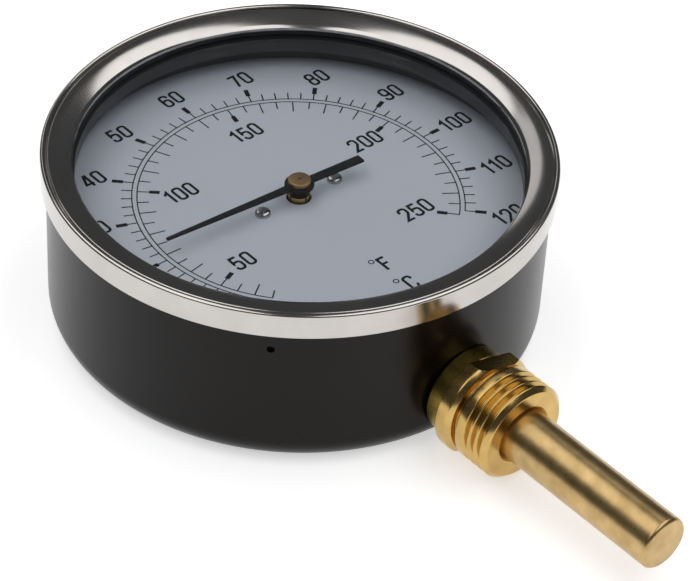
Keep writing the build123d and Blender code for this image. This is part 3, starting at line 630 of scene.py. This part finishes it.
def buildPointer():
    pointer = pointerShape
    mesh = bmesh.new()
    half = [(pointer["reach"], pointer["tip"] / 2), (0, pointer["waist"] / 2),
            (-pointer["tail"], pointer["end"] / 2)]
    around = [mesh.verts.new((x, y, pointer["foot"])) for x, y in half]
    around += [mesh.verts.new((x, -y, pointer["foot"])) for x, y in reversed(half)]
    blade = mesh.faces.new(around)
    raised = bmesh.ops.extrude_face_region(mesh, geom=[blade])
    top = [item for item in raised["geom"] if isinstance(item, bmesh.types.BMVert)]
    bmesh.ops.translate(mesh, vec=(0, 0, pointer["thickness"]), verts=top)
    bmesh.ops.bevel(mesh, geom=mesh.edges[:], offset=pointer["ease"], segments=pointer["easeSteps"],
                    profile=0.5, affect="EDGES", material=-1)
    bmesh.ops.recalc_face_normals(mesh, faces=mesh.faces[:])
    turn = Matrix.Rotation(math.radians(pointer["angle"]), 3, "Z")
    bmesh.ops.rotate(mesh, cent=(0, 0, 0), matrix=turn, verts=mesh.verts[:])
    layOnLine(mesh, spindleLine)
    place(finishMesh(mesh, "pointer_blade", lacquerMaterial), "spindle", "pointer_black", "pointer")
    hub = [(pointer["bore"], pointer["bossFoot"]), (pointer["boss"], pointer["bossFoot"], pointer["hubEdge"]),
           (pointer["boss"], pointer["hubFoot"]), (pointer["hub"], pointer["hubFoot"], pointer["hubEdge"]),
           (pointer["hub"], pointer["hubTop"], pointer["hubRound"]), (pointer["bore"], pointer["hubTop"])]
    turnedPiece("pointer_hub", hub, spindleLine, lacquerMaterial, "spindle", "pointer_black", ["pointer"],
                roundSteps["small"])


buildPointer()

capShape = {"radius": 2.4, "foot": pointerShape["hubTop"], "top": 30.6, "edge": 0.28,
            "slotLength": 1.1, "slotWidth": 0.35, "slotDepth": 0.3}
screwShape = {"place": 9.5, "radius": 1.65, "foot": dialDisc["face"], "top": 27.0, "crown": 0.7,
              "shank": 1.0, "shankFoot": 22.0, "tipEase": 0.2, "slotLength": 4.0, "slotWidth": 0.5,
              "slotDepth": 0.4, "slotAngle": 35.0}


def slottedHead(name, outline, across, shape, slotAngle, material, body, slotName, node):
    # a turned head with a screwdriver slot over its top, across mm to one side of the spindle
    line = ((across, 0, 0), (0, 0, 1))
    head = finishMesh(turnedMesh(outline, line, roundSteps["small"], False), name, material)
    cutter = bmesh.new()
    bmesh.ops.create_cube(cutter, size=1)
    bmesh.ops.scale(cutter, vec=(shape["slotLength"], shape["slotWidth"], shape["slotDepth"] * 2),
                    verts=cutter.verts[:])
    bmesh.ops.rotate(cutter, cent=(0, 0, 0), verts=cutter.verts[:],
                     matrix=Matrix.Rotation(math.radians(slotAngle), 3, "Z"))
    bmesh.ops.translate(cutter, vec=(across, 0, shape["top"]), verts=cutter.verts[:])
    layOnLine(cutter, spindleLine)
    cutWith(head, finishMesh(cutter, name + "_slot", material))
    place(head, body, slotName, node)


def buildHeads():
    cap = capShape
    outline = [(0, cap["foot"]), (cap["radius"], cap["foot"]), (cap["radius"], cap["top"], cap["edge"]),
               (0, cap["top"])]
    slottedHead("pointer_cap_head", outline, 0, cap, pointerShape["angle"], capMaterial, "spindle",
                "cap_brass", "pointer_cap")
    screw = screwShape
    outline = [(0, screw["shankFoot"]), (screw["shank"], screw["shankFoot"], screw["tipEase"]),
               (screw["shank"], screw["foot"]), (screw["radius"], screw["foot"]),
               (screw["radius"], screw["top"], screw["crown"]), (0, screw["top"])]
    for name, side in (("left", -1), ("right", 1)):
        slottedHead("dial_screw_" + name, outline, side * screw["place"], screw, screw["slotAngle"],
                    screwMaterial, "case", "screw_steel", "dial_screws")


buildHeads()
print("pointer and screws made")

# stem: socket, pocket collar, ringed thread and closed tube
neckShape = {"radius": 9.6, "face": caseCup["radius"], "end": 55.5, "edge": 0.35, "tenon": 7.0,
             "tenonEnd": 43.8, "ease": 0.3, "spigot": 7.4, "spigotEnd": 62.3, "tubeBore": 4.52,
             "backBore": 3.1, "tubeStart": 50.0}
pocketShape = {"collar": 11.1, "collarEnd": 59.2, "chamfer": 0.95, "relief": 9.0, "threadStart": 60.3,
               "thread": 10.4775, "pitch": 25.4 / 14, "depth": 1.162, "crest": 0.36, "turns": 3,
               "rootFlat": 0.2, "rootRound": 0.1, "crestRound": 0.12, "leadFlank": 0.35,
               "leadCrest": 1.9, "leadRound": 0.15, "endChamfer": 1.0, "endRound": 0.2,
               "countersink": 0.8, "seat": 7.45, "step": 62.4, "tubeGap": 0.02, "flats": 19.0,
               "flatAngle": 74.3, "flatReach": 40.0, "footRound": 0.2, "shoulderRound": 0.25,
               "faceRound": 0.15}
tubeShape = {"radius": 5.6, "bore": 4.58, "end": 107.5, "floor": 1.2, "corner": 0.9, "fillet": 0.3}


def buildSocket():
    neck = neckShape
    outline = [(neck["backBore"], neck["tenonEnd"]), (neck["tenon"], neck["tenonEnd"], neck["ease"]),
               (neck["tenon"], neck["face"]), (neck["radius"], neck["face"], neck["edge"]),
               (neck["radius"], neck["end"], neck["edge"]), (neck["spigot"], neck["end"]),
               (neck["spigot"], neck["spigotEnd"], neck["ease"]), (neck["tubeBore"], neck["spigotEnd"]),
               (neck["tubeBore"], neck["tubeStart"]), (neck["backBore"], neck["tubeStart"])]
    turnedPiece("neck", outline, stemLine, neckMaterial, "case", "neck_brass", ["stem_socket"])


def threadOutline():
    # the ringed thread: a broad first crest, then one V groove to each turn
    pocket = pocketShape
    crest, root = pocket["crestRound"], pocket["rootRound"]
    flank = (pocket["pitch"] - pocket["crest"] - pocket["rootFlat"]) / 2
    core = pocket["thread"] - pocket["depth"]
    start = pocket["threadStart"] + pocket["leadFlank"]
    at = start + pocket["leadCrest"]
    points = [(pocket["thread"], start, crest), (pocket["thread"], at, pocket["leadRound"])]
    for turn in range(pocket["turns"]):
        points += [(core, at + flank, root), (core, at + flank + pocket["rootFlat"], root),
                   (pocket["thread"], at + 2 * flank + pocket["rootFlat"], crest)]
        at += pocket["pitch"]
        points.append((pocket["thread"], at, crest))
    return points, at + pocket["endChamfer"]


def cutFlats(piece):
    # two flats across the collar for a spanner
    pocket, start = pocketShape, neckShape["end"]
    turn = Matrix.Rotation(-math.radians(pocket["flatAngle"]), 3, "Y")
    size = (pocket["collar"], 2 * (pocket["collarEnd"] - start), pocket["flatReach"])
    for side in (-1, 1):
        cutter = bmesh.new()
        bmesh.ops.create_cube(cutter, size=1)
        bmesh.ops.scale(cutter, vec=size, verts=cutter.verts[:])
        bmesh.ops.translate(cutter, vec=(side * (pocket["flats"] + pocket["collar"]) / 2, -start, 0),
                            verts=cutter.verts[:])
        bmesh.ops.rotate(cutter, cent=(0, 0, 0), matrix=turn, verts=cutter.verts[:])
        bmesh.ops.translate(cutter, vec=(0, 0, stemHeight), verts=cutter.verts[:])
        layOnLine(cutter, spindleLine)
        cutWith(piece, finishMesh(cutter, "flat_cutter", pocketMaterial))


def buildPocket():
    pocket, tube = pocketShape, tubeShape
    thread, end = threadOutline()
    bore = tube["radius"] + pocket["tubeGap"]
    outline = [(pocket["seat"], neckShape["end"]), (pocket["collar"], neckShape["end"], pocket["footRound"]),
               (pocket["collar"], pocket["collarEnd"] - pocket["chamfer"], pocket["shoulderRound"]),
               (pocket["collar"] - pocket["chamfer"], pocket["collarEnd"], pocket["faceRound"]),
               (pocket["relief"], pocket["collarEnd"], pocket["rootRound"]),
               (pocket["relief"], pocket["threadStart"], pocket["rootRound"])]
    outline += thread
    outline += [(pocket["thread"] - pocket["endChamfer"], end, pocket["endRound"]),
                (tube["radius"] + pocket["countersink"], end, pocket["crestRound"]),
                (bore, end - pocket["countersink"]), (bore, pocket["step"]),
                (pocket["seat"], pocket["step"])]
    mesh = turnedMesh(outline, stemLine, roundSteps["large"])
    piece = finishMesh(mesh, "pocket_body_turned", pocketMaterial)
    cutFlats(piece)
    place(piece, "pocket", "pocket_brass", "pocket_body")
    floor = tube["end"] - tube["floor"]
    outline = [(tube["radius"], pocket["step"]), (tube["radius"], tube["end"], tube["corner"]),
               (0, tube["end"]), (0, floor), (tube["bore"], floor, tube["fillet"]),
               (tube["bore"], pocket["step"])]
    turnedPiece("pocket_well", outline, stemLine, tubeMaterial, "pocket", "pocket_brass", ["pocket_tube"])


buildSocket()
buildPocket()
print("stem and pocket made")

# the pieces kept from the frame take their real finishes

keptFinishes = {
    "pointer_spindle": screwMaterial, "spindle_gear": capMaterial, "shaft_gear": capMaterial,
    "spindle_bush": pocketMaterial, "foot_bearing": capMaterial, "base_plate": capMaterial,
    "movement_pillars": capMaterial, "bridge_plate": capMaterial, "dial_posts": capMaterial,
    "shaft_bracket": capMaterial, "bracket_screws": screwMaterial, "shaft_bush": capMaterial,
    "stem_shaft": screwMaterial, "shaft_collar": capMaterial, "coil_hub": capMaterial,
    "bimetal_coil": stripMaterial, "coil_anchor": tubeMaterial, "stem_tube": tubeMaterial,
    "guide_bush": capMaterial, "socket_nut": capMaterial, "saddle_washer": capMaterial,
    "pocket_screw": screwMaterial,
}
for node, material in keptFinishes.items():
    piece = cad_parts[node]
    piece.data.materials.clear()
    piece.data.materials.append(material)
print("kept pieces finished")

# floor, two softboxes overhead with a dark gap between them, a small light behind, and camera
studio = {"floorSize": 6.0, "floorDrop": 0.0001, "sky": "#e8ecf0", "skyStrength": 0.08,
          "boxPower": 7.2, "boxSize": (0.85, 1.8), "boxHeight": 1.0, "boxGap": 0.26, "boxTurn": -42.5,
          "panelPower": 0.4, "panelSize": (0.28, 0.66), "panelPlace": (0.4, 0.98, 0.58)}
cameraSetup = {"target": (-11.227, -29.154, 27.0), "distance": 571.16, "azimuth": -42.7951,
               "elevation": 39.417, "roll": 3.473, "lens": 149.65, "sensor": 36.0}


def addPanel(name, power, size, matrix):
    # a flat oblong light
    light = bpy.data.lights.new(name, "AREA")
    light.shape = "RECTANGLE"
    light.size, light.size_y = size
    light.energy = power
    holder = bpy.data.objects.new(name, light)
    holder.matrix_world = matrix
    bpy.context.scene.collection.objects.link(holder)


def buildStudio():
    floor = bmesh.new()
    bmesh.ops.create_grid(floor, x_segments=1, y_segments=1, size=studio["floorSize"] / 2)
    bmesh.ops.translate(floor, vec=(0, 0, -studio["floorDrop"]), verts=floor.verts[:])
    finishMesh(floor, "floor", cloudyFinish("palePaper", palePaper))
    turn = Matrix.Rotation(math.radians(studio["boxTurn"]), 4, "Z")
    for name, side in (("softboxLeft", -1), ("softboxRight", 1)):
        across = side * (studio["boxSize"][0] + studio["boxGap"]) / 2
        addPanel(name, studio["boxPower"], studio["boxSize"],
                 turn @ Matrix.Translation((across, 0, studio["boxHeight"])))
    spot = Vector(studio["panelPlace"])
    facing = spot.to_track_quat("Z", "Y").to_matrix().to_4x4()  # turned to the part
    addPanel("backPanel", studio["panelPower"], studio["panelSize"], Matrix.Translation(spot) @ facing)
    world = bpy.data.worlds.new("studio")
    world.use_nodes = True
    sky = world.node_tree.nodes["Background"]
    sky.inputs["Color"].default_value = hexColour(studio["sky"])
    sky.inputs["Strength"].default_value = studio["skyStrength"]
    bpy.context.scene.world = world
    bpy.context.scene.view_settings.view_transform = "Standard"


def buildCamera():
    setup = cameraSetup
    azimuth, elevation = math.radians(setup["azimuth"]), math.radians(setup["elevation"])
    away = Vector((math.sin(azimuth) * math.cos(elevation), -math.cos(azimuth) * math.cos(elevation),
                   math.sin(elevation)))
    data = bpy.data.cameras.new("camera")
    data.lens = setup["lens"]
    data.sensor_width = setup["sensor"]
    data.clip_start = 0.01
    holder = bpy.data.objects.new("camera", data)
    holder.rotation_mode = "QUATERNION"
    roll = Matrix.Rotation(math.radians(setup["roll"]), 4, "Z").to_quaternion()
    holder.rotation_quaternion = (-away).to_track_quat("-Z", "Y") @ roll
    holder.location = (Vector(setup["target"]) + away * setup["distance"]) * mm
    bpy.context.scene.collection.objects.link(holder)
    bpy.context.scene.camera = holder


buildStudio()
buildCamera()
print("studio made")
